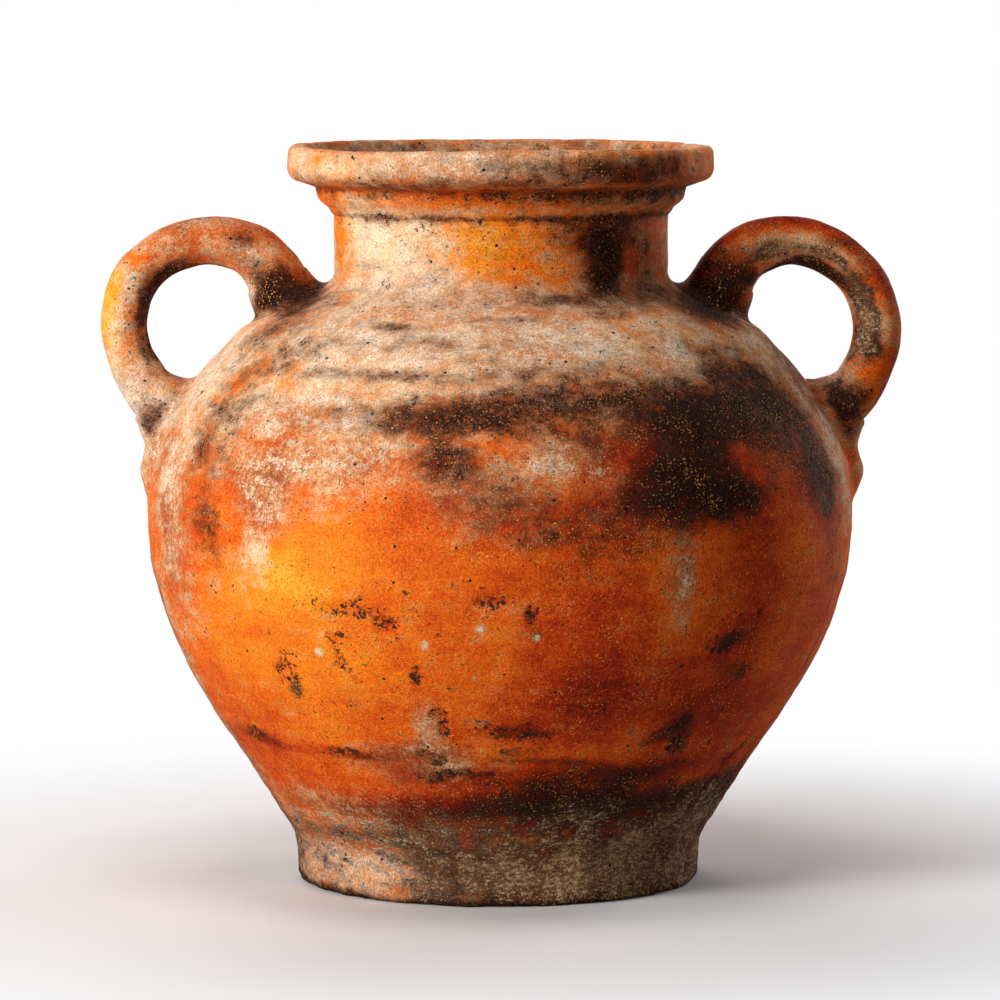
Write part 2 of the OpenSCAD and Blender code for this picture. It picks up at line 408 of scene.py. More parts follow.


# Stains, and some painted shadow and sheen, as (angle, height, half width, half height, strength), then
# any tilt in degrees.
GLOWS = [
    (-32, 186, 40, 18, 0.24), (-44, 152, 66, 34, 0.16), (-34, 126, 58, 20, 0.15),
    (-30, 102, 40, 10, 0.10), (-40, 86, 60, 6, -0.10), (-54, 208, 20, 16, -0.06, 10),
    (-12, 140, 26, 40, 0.03), (-58, 64, 50, 18, -0.08), (-15, 62, 40, 14, -0.10),
    (14, 150, 34, 54, -0.17), (16, 108, 60, 18, -0.15), (46, 104, 44, 34, -0.24),
    (24, 76, 90, 8, -0.22), (8, 90, 50, 5, 0.04), (30, 240, 36, 24, -0.36), (44, 204, 34, 22, -0.12),
    (8, 212, 44, 14, -0.12), (62, 235, 24, 40, -0.20), (46, 160, 34, 30, -0.18),
    (30, 134, 20, 18, -0.10), (64, 130, 26, 60, -0.10), (20, 54, 140, 12, -0.20),
    (-48, 345, 26, 34, 0.26), (-14, 345, 26, 30, 0.04), (8, 345, 20, 26, -0.04),
    (56, 345, 44, 30, -0.20), (-62, 388, 50, 12, 0.16), (54, 385, 66, 16, -0.20),
    (-5, 373, 60, 5, -0.10), (-72, 260, 30, 50, 0.14), (-36, 290, 60, 26, 0.10),
    (14, 308, 30, 14, 0.10), (62, 310, 34, 14, -0.14), (112, 190, 70, 60, 0.10),
    (150, 120, 80, 50, 0.16), (-160, 165, 70, 40, 0.16), (-118, 120, 60, 60, 0.10),
    (-150, 86, 120, 12, -0.20), (-110, 230, 50, 40, -0.16), (165, 240, 70, 26, -0.30),
    (130, 80, 90, 14, -0.18), (-135, 215, 40, 30, 0.06), (90, 110, 50, 50, -0.10),
    (178, 200, 40, 50, -0.12), (-95, 180, 36, 60, -0.02), (-160, 58, 160, 14, -0.26),
    (120, 56, 120, 14, -0.26), (150, 380, 90, 10, -0.16), (-120, 345, 50, 30, 0.14),
    (130, 345, 50, 30, -0.14), (80, 285, 30, 40, -0.16), (-10, 379, 150, 4, -0.20),
    (-57, 232, 28, 34, 0.06), (10, 240, 26, 12, 0.06), (-50, 14, 90, 14, 0.18),
    (-22, 112, 30, 14, -0.06), (18, 130, 40, 18, -0.05), (22, 122, 40, 26, -0.06),
    (-34, 168, 34, 26, 0.06), (20, 60, 70, 14, -0.16), (-20, 383, 120, 5, -0.12),
    (-84, 210, 16, 24, 0.10), (12, 130, 36, 30, 0.08), (31, 100, 24, 22, 0.10),
    (-22, 44, 60, 16, -0.06), (-25, 222, 40, 14, 0.09), (-8, 192, 26, 18, 0.09),
    (-20, 350, 60, 20, 0.06),
]
# Lime bloom; the tall pale strips at -88, -84, -80 and 76 degrees, down the sides, are partly painted
# sheen and partly dust.
BLOOMS_AND_SHEEN = [
    (-28, 312, 90, 18, 0.36), (-22, 292, 80, 16, 0.34), (12, 306, 26, 10, 0.62, 4),
    (24, 299, 14, 8, 0.30), (39, 292, 16, 14, 0.62, -20), (-37, 268, 46, 18, 0.42),
    (-38, 236, 34, 20, 0.42), (-40, 218, 14, 20, 0.52), (-43, 192, 12, 16, 0.36),
    (-72, 262, 30, 46, 0.50), (-68, 205, 20, 34, 0.46), (-66, 165, 20, 30, 0.30),
    (-22, 244, 36, 14, 0.30), (10, 242, 22, 10, 0.34), (30, 184, 9, 24, 0.58), (-14, 82, 26, 14, 0.46),
    (-13, 102, 8, 14, 0.50, 15), (-40, 56, 60, 12, 0.20), (-80, 110, 24, 80, 0.50),
    (76, 250, 24, 70, 0.50), (54, 84, 10, 24, 0.24, -15), (-50, 346, 12, 30, 0.50),
    (-34, 334, 16, 24, 0.40), (-26, 342, 20, 34, 0.30), (0, 347, 34, 18, -0.40),
    (58, 330, 16, 16, 0.15), (-70, 392, 26, 12, 0.30), (-36, 393, 30, 11, 0.20),
    (-10, 393, 32, 9, 0.55), (12, 393, 12, 9, 0.40), (34, 394, 24, 3, 0.40), (66, 388, 16, 12, 0.20),
    (-12, 373, 60, 5, -0.30), (-50, 16, 100, 18, 0.52), (4, 12, 30, 10, 0.36), (48, 235, 22, 24, -0.40),
    (28, 240, 22, 18, -0.40), (100, 300, 60, 26, 0.40), (140, 312, 70, 22, 0.45),
    (-170, 304, 70, 22, 0.40), (-120, 305, 60, 24, 0.45), (120, 246, 36, 22, 0.45),
    (-140, 250, 44, 22, 0.50, 10), (-100, 200, 24, 40, 0.40), (160, 190, 22, 26, 0.40),
    (-165, 130, 26, 20, 0.40), (150, 345, 50, 30, 0.30), (-110, 345, 40, 30, 0.30),
    (-150, 392, 50, 10, 0.40), (110, 392, 40, 10, 0.35), (100, 110, 22, 30, 0.36),
    (-130, 90, 30, 14, 0.40), (175, 20, 120, 16, 0.25), (90, 340, 30, 30, 0.30),
    (96, 170, 14, 60, 0.30), (-10, 379, 150, 4, -0.30), (-74, 352, 14, 16, -0.40),
    (-57, 228, 26, 36, 0.40), (4, 226, 44, 20, 0.24), (-3, 158, 2.6, 2, 0.85, 30), (6, 153, 2, 2, 0.85),
    (-12, 149, 1.8, 2.6, 0.85), (-4, 131, 1.8, 1.8, 0.80), (-31, 142, 2, 2.2, 0.80),
    (-20, 90, 30, 8, 0.30), (-88, 222, 16, 50, 0.45), (-84, 270, 14, 44, 0.45),
    (-60, 180, 12, 30, 0.24), (48, 216, 20, 12, -0.30), (-58, 262, 24, 32, -0.30),
    (-57, 222, 20, 22, -0.30), (-8, 222, 30, 14, 0.26), (-6, 296, 70, 16, 0.26), (-8, 322, 50, 8, 0.26),
    (-22, 44, 60, 16, 0.34), (15, 300, 18, 8, 0.34), (-64, 284, 24, 26, -0.26),
    (-46, 280, 16, 14, -0.30), (10, 16, 60, 8, 0.10),
]
# Soot; the dark patches next to the handle roots, from -80 to -70 and 72 to 85 degrees between 280 and
# 318 mm, are partly painted shadow of the handles, and the thin bands at 380 and 383 mm are partly
# painted shade under the lip.
SOOTS_AND_SHADOWS = [
    (-12, 264, 28, 10, 0.72), (-27, 267, 20, 5, 0.34), (0, 266, 30, 12, 0.70), (14, 275, 46, 13, 0.60),
    (12, 288, 34, 4, 0.22), (37, 266, 34, 18, 0.92), (32, 238, 26, 22, 0.44), (27, 230, 22, 12, 0.70),
    (38, 222, 24, 10, 0.56), (38, 250, 14, 24, 0.40), (50, 283, 26, 14, 0.68, -30),
    (56, 268, 24, 18, 0.86), (62, 246, 20, 28, 0.64), (64, 222, 16, 22, 0.48), (68, 212, 15, 50, 0.32),
    (-8, 244, 19, 11, 0.66), (0, 226, 44, 13, 0.38), (16, 208, 56, 12, 0.42), (46, 206, 18, 8, 0.14),
    (14, 257, 40, 6, 0.34), (-26, 308, 13, 5, 0.46), (-12, 300, 46, 5, 0.24), (-22, 285, 50, 5, 0.40),
    (4, 312, 26, 4, 0.32), (-4, 292, 30, 4, 0.20), (-49, 292, 24, 8, 0.38, 25),
    (-62, 302, 26, 13, 0.40, 20), (-57, 274, 24, 24, 0.28), (-54, 236, 22, 14, 0.34),
    (-54, 206, 14, 14, 0.50), (-61, 222, 8, 30, 0.24), (-52, 190, 11, 14, 0.30),
    (-66, 185, 5, 30, 0.20), (-80, 318, 26, 9, 0.85), (72, 312, 26, 15, 0.92), (48, 320, 34, 8, 0.34),
    (37, 351, 14, 14, 0.86), (36, 331, 12, 14, 0.80, 10), (23, 354, 16, 9, 0.50),
    (48, 354, 14, 12, 0.46), (60, 342, 14, 20, 0.34), (24, 322, 16, 7, 0.46, 20),
    (12, 321, 10, 5, 0.36), (56, 324, 24, 6, 0.30), (41, 146, 10, 7, 0.62, 10), (46, 150, 8, 8, 0.34),
    (37, 100, 9, 14, 0.42, 20), (33, 96, 12, 4, 0.48, 25), (44, 130, 22, 5, 0.36, -15),
    (4, 100, 20, 4, 0.46), (8, 84, 34, 3, 0.46, -3), (-26, 84, 24, 2.5, 0.46),
    (-55, 88, 22, 4, 0.52, -8), (-4, 72, 30, 3, 0.30), (20, 66, 50, 9, 0.42, 4), (46, 60, 50, 12, 0.28),
    (6, 56, 60, 5, 0.40, 3), (66, 60, 26, 24, 0.36), (72, 140, 4, 60, 0.36), (-78, 140, 3, 50, 0.40),
    (4, 392, 20, 7, 0.30), (24, 391, 18, 7, 0.50), (38, 388, 22, 8, 0.62), (52, 392, 18, 8, 0.46),
    (36, 373, 60, 6, 0.16), (62, 374, 30, 10, 0.30), (112, 262, 50, 14, 0.74),
    (150, 276, 60, 11, 0.70, -4), (175, 250, 40, 16, 0.62), (-125, 272, 50, 10, 0.66, 6),
    (-150, 262, 30, 10, 0.50), (-160, 222, 34, 18, 0.44), (135, 150, 30, 8, 0.50, 10),
    (-112, 158, 26, 7, 0.50, -8), (165, 85, 50, 3, 0.55), (-130, 72, 60, 6, 0.50),
    (168, 342, 28, 26, 0.88), (-135, 332, 34, 10, 0.56), (125, 388, 26, 10, 0.62),
    (-175, 390, 24, 10, 0.66), (95, 190, 7, 40, 0.42), (-95, 250, 8, 40, 0.50),
    (130, 222, 26, 10, 0.46), (100, 280, 24, 14, 0.60, -20), (-105, 60, 50, 12, 0.46),
    (140, 60, 70, 10, 0.52), (180, 50, 60, 8, 0.42, 3), (-70, 312, 22, 9, 0.60),
    (80, 280, 20, 40, 0.34), (-10, 380, 150, 3.5, 0.34), (150, 238, 44, 16, 0.50, 8),
    (51, 244, 20, 26, 0.48), (20, 186, 60, 12, 0.20), (32, 216, 22, 12, 0.50), (58, 284, 13, 14, 0.38),
    (26, 76, 26, 5, 0.30), (14, 392, 14, 7, 0.20), (18, 246, 24, 8, 0.40), (-16, 52, 30, 8, 0.16),
    (8, 60, 16, 8, 0.40), (30, 264, 40, 14, 0.20), (33, 234, 34, 22, 0.26), (15, 69, 24, 9, 0.44),
    (42, 120, 26, 14, 0.20, 30), (-58, 250, 22, 18, 0.16), (24, 60, 60, 14, 0.30),
    (-74, 318, 44, 9, 0.44), (74, 316, 26, 12, 0.76), (31, 315, 12, 7, 0.42), (85, 290, 14, 20, 0.34),
    (-12, 383, 120, 5, 0.38), (18, 58, 60, 12, 0.36), (56, 54, 40, 12, 0.40), (18, 241, 16, 8, -0.36),
    (53, 256, 22, 14, 0.30), (15, 50, 14, 8, 0.36), (46, 258, 12, 8, 0.36), (42, 340, 9, 10, 0.56),
]
CRUSTS = [
    (34, 36, 90, 20, 0.56, 3), (20, 17, 70, 14, 0.76), (62, 46, 50, 24, 0.56), (-12, 46, 36, 10, 0.20),
    (-44, 38, 40, 6, 0.26), (-14, 76, 16, 6, 0.24), (-38, 122, 6, 6, 0.55), (38, 94, 5, 12, 0.50),
    (5, 90, 20, 4, 0.34), (110, 40, 90, 22, 0.55), (-150, 40, 110, 22, 0.52), (160, 30, 90, 22, 0.60),
    (-100, 36, 60, 20, 0.42), (180, 14, 200, 12, 0.50), (16, 52, 40, 12, 0.30), (64, 16, 50, 14, 0.40),
    (-8, 22, 24, 8, 0.18), (30, 60, 60, 14, 0.26), (62, 62, 36, 18, 0.20), (-6, 20, 40, 10, 0.24),
    (42, 9, 84, 9, 0.66), (-24, 44, 50, 12, 0.08),
]
# Flakes lost from the surface, as (angle, height, half width, half height, depth), then
# any tilt.
FLAKES = [
    (-19, 160, 6, 6, 1.0, 20), (-24, 166, 20, 5, 0.5, 4), (-27, 151, 4, 3, 1.2), (-17, 158, 4, 4, 1.2),
    (-1, 172, 10, 3.5, 0.9), (5, 165, 4, 5, 1.0), (-27, 140, 2.5, 8, 0.6, 10),
    (40, 145, 11, 7, 0.7, 30), (4, 100, 17, 4, 0.6), (-10, 102, 4, 10, 0.9, 12), (-13, 86, 9, 5, 0.6),
    (37, 98, 4, 13, 0.7, 10), (-56, 90, 12, 3, 0.6, -20), (-39, 130, 6, 7, 0.5), (-14, 130, 3, 8, 0.5),
    (-32, 86, 12, 2.5, 0.5), (-8, 76, 16, 3, 0.6), (58, 66, 4, 20, 0.4, -25),
    (120, 150, 10, 5, 0.9, 10), (-140, 165, 8, 5, 0.9, -20), (170, 110, 14, 3, 0.7, 5),
    (-105, 120, 6, 8, 0.8), (145, 210, 5, 5, 0.9), (-170, 240, 9, 4, 0.7, 15), (100, 90, 5, 9, 0.7),
    (-125, 200, 6, 4, 0.8), (160, 160, 4, 6, 0.9),
]
# Chips in the lip, as (angle, depth, width).
LIP_CHIPS = [
    (-68, 3.0, 7), (-12, 1.2, 9), (18, 1.5, 6), (63, 1.8, 8),
    (112, 2.4, 8), (-150, 2.6, 10), (160, 1.6, 6), (-108, 1.8, 7),
]
PITS = 320


def dent(lift, coat, angle, z, width, height, depth, tilt=0):
    """Breaks one ragged flake out of the skin, and lets dirt settle in it."""
    far = distance_from(angle, z, width, height, tilt) * (1 + 0.7 * FRAYED)
    hollow = 1 - ramp(far, 0.6, 1.0)
    lift -= depth * hollow
    lift += 0.12 * depth * (ramp(far, 0.9, 1.2) - ramp(far, 1.2, 1.9))
    coat.grime[:] = np.maximum(coat.grime, 0.56 * (1 - ramp(far, 0.5, 1.6)))
    coat.firing -= 0.05 * (1 - ramp(far, 0.6, 2.2))


def small_pits(lift, coat):
    """Grit holes and burnt-out straw, spread over the whole outside."""
    rng = np.random.default_rng(SEED)
    chance = outer.line[:, 0] * np.gradient(outer.run)
    chance[:BED_ROW] = 0
    chance[TOP_ROW:] = 0
    for row in rng.choice(len(chance), PITS, p=chance / chance.sum()):
        column = rng.integers(COLUMNS)
        size = 0.9 + 1.5 * rng.random() ** 3
        long = size * rng.uniform(1, 1.9)
        depth = size * rng.uniform(0.2, 0.45)
        pitch = 2 * math.pi * outer.line[row, 0] / COLUMNS
        reach_r = int(2.5 * size / 1.5) + 2
        reach_c = int(2.5 * long / pitch) + 2
        rows = np.arange(max(row - reach_r, BED_ROW), min(row + reach_r, TOP_ROW))
        columns = np.arange(column - reach_c, column + reach_c + 1)
        across = (columns - column) * pitch
        up = outer.run[rows] - outer.run[row]
        far = np.hypot(across[None, :] / long, up[:, None] / size)
        spot = np.ix_(rows, columns % COLUMNS)
        lift[spot] -= depth * (1 - ramp(far, 0.3, 1.1))
        coat.grime[spot] = np.maximum(coat.grime[spot], 0.60 * (1 - ramp(far, 0.3, 1.2)))


def throwing_marks():
    """The wheel's rings and the slow unevenness of the thrown wall, as lift."""
    p = outer.rest
    body = ramp(Z, 20, 60) * (1 - ramp(Z, 300, 325))
    rings = layered(outer.on_wheel(90), 11, 5, 3)
    lift = 0.7 * layered(p, 120, 1, 2) + (0.1 + 0.16 * body) * rings
    lift += 0.3 * layered(p, 26, 2, 3) + 0.13 * layered(p, 7, 3, 2)
    return lift


def stained_coat():
    """What coats the outside: broad changes with height, then the stains, with the painted shadow and
    sheen among them.
    """
    coat = Coat(outer.rest, firing=0.58, bloom=0.04)
    coat.firing += 0.17 * ramp(Z, 225, 290) - 0.05 * (1 - ramp(Z, 30, 80))
    coat.bloom += 0.42 * ramp(Z, 205, 285) + 0.40 * (1 - ramp(Z, 30, 75)) - 0.14 * ramp(Z, 326, 338)
    coat.soot += 0.16 * ramp(Z, 235, 265) + 0.9 * (1 - ramp(Z + 5 * RAGGED[1], 1, 9))
    coat.crust += 0.26 * (1 - ramp(Z, 24, 66))
    for cover in patches(GLOWS):
        coat.firing += cover
    for stains, field in ((BLOOMS_AND_SHEEN, coat.bloom), (SOOTS_AND_SHADOWS, coat.soot), (CRUSTS, coat.crust)):
        for cover in patches(stains):
            lay(field, cover)
    return coat


def darken_hollows(coat):
    """Darkens the grooves under the collar and the lip with painted shade and some soot and dirt, and the
    mouth with painted shade under a little dust.
    """
    groove = band(at_height(COLLAR_Z + 1, outer.run), 3.5)
    under_lip = band(at_height(LIP_Z - 1, outer.run), 5)
    lay(coat.soot, (0.60 * groove + 0.56 * under_lip) * (0.8 + 0.5 * RAGGED[0]))
    coat.grime = np.maximum(coat.grime, 0.20 * groove + 0.24 * under_lip)
    # The mouth: painted shade on the inner wall, laid as soot, with a little lime dust.
    mouth = ramp(outer.run, outer.run[TOP_ROW] + 2, outer.run[TOP_ROW] + 8)[:, None]
    lay(coat.soot, 0.30 * mouth)
    lay(coat.bloom, 0.25 * mouth)


def wear_edges(lift):
    """Rubs down the edges of the foot and the lip, and breaks chips out of the lip."""
    foot_edge = band(at_height(1.5, outer.run), 4)
    lift -= foot_edge * (0.5 + 0.7 * layered(outer.rest, 14, 9, 3))
    lip_edge = band(outer.run[TOP_ROW - 5], 5)
    lift -= lip_edge * np.maximum(0, 0.1 + 0.5 * layered(outer.rest, 12, 10, 3))
    for angle, depth, width in LIP_CHIPS:
        far = np.abs(turn_between(ANGLES, angle)) * math.pi / 180 * LIP_R / width
        lift -= lip_edge * depth * (1 - ramp(far * (1 + 0.3 * RAGGED[1][TOP_ROW]), 0.3, 1.1))


def outside_shape():
    """How far each point of the outside stands from the outline, and what coats it."""
    lift, coat = throwing_marks(), stained_coat()
    for flake in FLAKES:
        dent(lift, coat, *flake)
    small_pits(lift, coat)
    darken_hollows(coat)
    rough = layered(outer.rest, 9, 8, 4, 0.7) + 0.5 * layered(outer.rest, 3.5, 12, 2)
    lift += coat.crust * (0.35 + 0.6 * rough)
    wear_edges(lift)
    inside_neck = ramp(outer.run, outer.run[-1] - 40, outer.run[-1])[:, None]
    return lift * (1 - inside_neck), coat


def settle(points):
    """Small faults of throwing: the foot a little off centre and the lip not quite level."""
    z = points[..., 2]
    turn = np.degrees(np.arctan2(points[..., 0], -points[..., 1]))
    off = 1 - ramp(z, 40, 235)
    high = ramp(z, COLLAR_Z - 10, JAR_H)
    wave = 0.25 * np.sin(np.radians(3 * turn + 40)) - 0.9 * np.exp(-((turn + 37) / 34) ** 2)
    points[..., 0] -= 2.0 * off
    points[..., 2] = np.maximum(z + high * wave, 0)
    return points


OUTER_LIFT, OUTER_COAT = outside_shape()
OUTER_POINTS = settle(outer.lifted(OUTER_LIFT))
OUTER_NORMALS = outer.shading_normals(OUTER_POINTS)


# ---------------------------------------------------------------- the inside

def inside_shape():
    """The thrown inside: strong finger rings, dust on the clay and dirt low down."""
    p = inner.rest
    lift = 0.5 * layered(inner.on_wheel(60), 14, 30, 2) + 0.4 * layered(p, 60, 31, 3)
    free = ramp(inner.run, 0, 12) * (1 - ramp(inner.run, inner.run[-1] - 14, inner.run[-1]))
    coat = Coat(p, firing=0.4, grime=0.25)
    coat.firing += 0.08 * layered(p, 80, 32, 3)
    coat.bloom += 0.22 + 0.25 * layered(p, 50, 33, 4)
    coat.soot += 0.25 * ramp(layered(p, 90, 34, 4), 0.1, 0.7)
    coat.crust += 0.6 * (1 - ramp(p[..., 2], FLOOR_Z + 5, FLOOR_Z + 45))
    return lift * free[:, None], coat


INNER_LIFT, INNER_COAT = inside_shape()
INNER_POINTS = settle(inner.lifted(INNER_LIFT))
INNER_NORMALS = inner.shading_normals(INNER_POINTS)


# ---------------------------------------------------------------- meshes of the jar

def write_mesh(name, points, faces, normals, coat, slot):
    """Makes one piece that stands for the CAD node of its name, coats as attributes."""
    mesh = bpy.data.meshes.new(name)
    points = points.reshape(-1, 3)
    mesh.vertices.add(len(points))
    mesh.vertices.foreach_set("co", (points * MM).astype(np.float32).ravel())
    sides = faces.shape[1]
    mesh.loops.add(faces.size)
    mesh.loops.foreach_set("vertex_index", faces.astype(np.int32).ravel())
    mesh.polygons.add(len(faces))
    mesh.polygons.foreach_set("loop_start", np.arange(0, faces.size, sides, dtype=np.int32))
    mesh.polygons.foreach_set("use_smooth", np.ones(len(faces), bool))
    mesh.update(calc_edges=True)
    mesh.validate()
    for field in Coat.NAMES:
        attribute = mesh.attributes.new(field, "FLOAT", "POINT")
        attribute.data.foreach_set("value", getattr(coat, field).astype(np.float32).ravel())
    mesh.normals_split_custom_set_from_vertices(normals.reshape(-1, 3).tolist())
    mesh.materials.append(MATERIALS[slot])
    piece = bpy.data.objects.new("clay_" + name, mesh)
    bpy.context.scene.collection.objects.link(piece)
    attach(piece, "root")
    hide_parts(name)


def ring_faces(rows, columns):
    """Quads of a grid that closes on itself both along its rows and round the jar."""
    r, c = np.meshgrid(np.arange(rows), np.arange(columns), indexing="ij")
    r2, c2 = (r + 1) % rows, (c + 1) % columns
    quads = np.stack([r * columns + c, r * columns + c2, r2 * columns + c2, r2 * columns + c], -1)
    return quads.reshape(-1, 4)


def ring_normals(points):
    """Normals of a closed grid, pointing out of it when its outline runs up the outside."""
    along = np.roll(points, -1, 0) - np.roll(points, 1, 0)
    across = np.roll(points, -1, 1) - np.roll(points, 1, 1)
    return unit(np.cross(across, along))


def revolved(line, columns=COLUMNS):
    """A line of radii and heights, turned round the jar's axis."""
    turn = np.linspace(-math.pi, math.pi, columns, endpoint=False)
    line = np.asarray(line, float)
    return np.stack([line[:, :1] * np.sin(turn), -line[:, :1] * np.cos(turn),
                     line[:, 1:] + 0 * turn[None, :]], -1)


def ring_piece(name, slot, parts):
    """A closed ring from stretches of grid, each as (points, normals or None, coat or None)."""
    points = np.concatenate([p for p, _, _ in parts])
    normals = ring_normals(points)
    coats, row = [], 0
    for p, n, c in parts:
        if n is not None:
            normals[row:row + len(p)] = n
        coats.append(c if c is not None else Coat(p, firing=0.4, grime=0.4))
        row += len(p)
    joined = coat_of(lambda field: np.concatenate([getattr(c, field) for c in coats]))
    write_mesh(name, points, ring_faces(*points.shape[:2]), normals, joined, slot)


def outside_rows(name):
    """One stretch of the outside, from below upwards."""
    first, last = outer.rows[name]
    rows = slice(first, last + 1)
    return OUTER_POINTS[rows], OUTER_NORMALS[rows], coat_of(lambda f: getattr(OUTER_COAT, f)[rows])


def inside_rows(name):
    """One stretch of the inside, from above downwards."""
    first, last = inner.rows[name]
    rows = slice(last, first - 1 if first else None, -1)
    return INNER_POINTS[rows], INNER_NORMALS[rows], coat_of(lambda f: getattr(INNER_COAT, f)[rows])


def hidden(*line):
    """Rows inside the clay, where one ring is luted to the next."""
    return settle(revolved(line)), None, None


def make_walls():
    """The seven rings of the wall, each closed by the faces where it is luted to the next."""
    seat_r = INNER_LINE[0][0]
    lip_seat = (COLLAR_R - 2.5, LIP_Z)
    neck_seat = (NECK_R, COLLAR_Z + 1.5)
    ring_piece("foot_ring", "foot_clay",
               [outside_rows("foot_ring"), hidden((seat_r, FOOT_H), (seat_r, RECESS_Z))])
    for name in ("lower_wall", "belly", "shoulder"):
        ring_piece(name, "body_clay", [outside_rows(name), inside_rows(name)])
    ring_piece("neck", "rim_clay",
               [outside_rows("neck"), hidden(neck_seat, lip_seat), outside_rows("neck_inside")])
    ring_piece("collar_band", "rim_clay", [outside_rows("collar_band"), hidden(lip_seat, neck_seat)])
    ring_piece("rim_lip", "rim_clay", [outside_rows("rim_lip")])


COIL_COLUMNS = 400
COIL_R = 6.4
COIL_SUNK = 3
NECK_COIL_R = 5.8
NECK_COIL_BACK = 16   # how many steps of the curve below the neck's root the coil lies


def write_coil(name, points, coat):
    """Writes a closed coil inside the jar."""
    settle(points)
    write_mesh(name, points, ring_faces(*points.shape[:2]), ring_normals(points), coat, "inside_clay")


def pressed_coil(name, at, radius):
    """A coil pressed flat over a seam inside the wall, dimpled by the fingers."""
    inwards = left_normals(WALL_LINE)[at]
    centre = INNER_LINE[at] - COIL_SUNK * inwards
    facing = math.degrees(math.atan2(*inwards[::-1]))
    half = math.degrees(math.acos(COIL_SUNK / radius)) + 12
    line = arc(centre, radius, facing + half, facing - half, 14)
    points = revolved(line, COIL_COLUMNS)
    out = ring_normals(points)
    press = layered(points, 17, 40, 2) - 0.4
    proud = np.sin(np.linspace(0, math.pi, len(line)))[:, None]
    points = points + out * (0.9 * press * proud)[..., None]
    write_coil(name, points, Coat(points, firing=0.36, grime=0.3, bloom=0.3))


def corner_coil():
    """The clay thumbed into the corner between floor and wall."""
    r0, size = INNER_LINE[0][0], 9
    line = np.vstack([[(r0 + 3, FLOOR_Z - 2), (r0 + 3, FLOOR_Z + size + 1)],
                      arc((r0 - size, FLOOR_Z + size + 1), size, 0, -90),
                      [(r0 - size - 2, FLOOR_Z - 2)]])
    points = revolved(line, COIL_COLUMNS)
    rough = layered(points, 20, 44, 3)
    points[2:-1] += ring_normals(points)[2:-1] * (0.6 * rough)[2:-1, :, None]
    write_coil("base_seam_coil", points, Coat(points, firing=0.36, grime=0.4, crust=0.5))


def floor_slab():
    """The slab floor, with the wheel's spiral on top and a wire-cut underside."""
    columns, rings = 240, 34
    radii = np.linspace(0, SLAB_R, rings + 1)[1:]
    line = np.vstack([np.stack([radii, np.full(rings, RECESS_Z)], 1),
                      np.stack([radii[::-1], np.full(rings, FLOOR_Z)], 1)])
    points = revolved(line, columns)
    turn = np.linspace(0, 1, columns, endpoint=False)
    spiral = np.sin(2 * math.pi * (line[:, :1] / 14 + turn))
    top = (np.arange(2 * rings) >= rings)[:, None]
    inside = line[:, :1] < SLAB_R - 12
    points[..., 2] += inside * np.where(top, 0.5 * spiral + 0.6 * layered(points, 40, 50, 3),
                                        0.25 * np.abs(layered(points, 30, 51, 3)))
    quads = ring_faces(2 * rings, columns)[:(2 * rings - 1) * columns]
    faces = np.vstack([quads[:, [0, 1, 2]], quads[:, [0, 2, 3]]])
    ring = np.arange(columns)
    low, high = 2 * rings * columns, 2 * rings * columns + 1
    last = (2 * rings - 1) * columns
    faces = np.vstack([faces,
                       np.stack([np.full(columns, low), (ring + 1) % columns, ring], 1),
                       np.stack([np.full(columns, high), last + ring, last + (ring + 1) % columns], 1)])
    points = np.vstack([points.reshape(-1, 3), (0, 0, RECESS_Z), (0, 0, FLOOR_Z)])
    normals = np.zeros_like(points)
    normals[:, 2] = np.where(points[:, 2] > (RECESS_Z + FLOOR_Z) / 2, 1, -1)
    coat = Coat(points, firing=0.36, grime=0.3)
    coat.crust += 0.45 + 0.3 * layered(points, 30, 52, 4)
    coat.bloom += 0.2
    write_mesh("base_disc", settle(points), faces, normals, coat, "inside_clay")


# ---------------------------------------------------------------- handles

# A handle's line as X, Z, half thickness and half width, for a handle on the right.
# The two were pulled by hand and differ a little.
HANDLE_LINES = {
    "right": [
        (103, 300, 19, 21), (117.5, 318, 17.2, 19), (123.5, 331.5, 16, 17.5),
        (136, 343.2, 14.8, 16), (159, 348, 13.1, 15), (182, 340, 13, 14.5),
        (197.5, 325.5, 12.9, 14.5), (204.8, 305, 12.8, 14.5), (203, 287, 12.9, 15),
        (196, 271.5, 13.9, 16.5), (187.5, 259, 13.5, 18), (178, 248, 10, 17),
    ],
    "left": [
        (103, 300, 19, 21), (117.5, 318, 17, 19), (124.8, 332, 15.4, 17.5),
        (137, 343.5, 14.2, 16), (159, 348.5, 13.3, 15), (183, 341.3, 13, 14.5),
        (198.5, 326.8, 13, 14.5), (205.2, 305, 12.7, 14.5), (202.3, 287, 12.6, 15),
        (194.6, 271.5, 13.8, 16.5), (186.6, 259, 13.5, 18), (178, 248, 10, 17),
    ],
}
ROOT_LINE = [(104, 301, 21.5, 25.5), (113, 311, 19.2, 22), (118.5, 319, 17.6, 19.4)]
CORNER_LINE = [(169, 267, 5, 12), (176, 266.3, 7, 14), (184, 261, 9, 16)]
TAIL_LINES = {
    "right": [
        (192.5, 257, 9, 17), (190, 247, 8, 16), (187.8, 238, 8, 14.5),
        (189, 230, 7.8, 13.5), (190.4, 222.5, 7.6, 13), (189.2, 215.5, 6, 10.5),
    ],
    "left": [
        (192.5, 257, 9, 17), (189.5, 247, 8, 16), (186.5, 238, 8, 14.5),
        (187.6, 230, 7.6, 13.5), (189.4, 222.5, 7.2, 13), (188.5, 216, 6, 10),
    ],
}
BLOCK = ((84, -34, 200), (226, 34, 372))   # two corners of the space round a handle
VOXEL = 1.25
ROD_STEPS = 6        # lengths of rod between two points of a handle's line
SUNK = 0.15          # how far a skirt's edge lies under the surface it fades into
BEDDED = 3.0         # how deep handle clay reaches into the wall
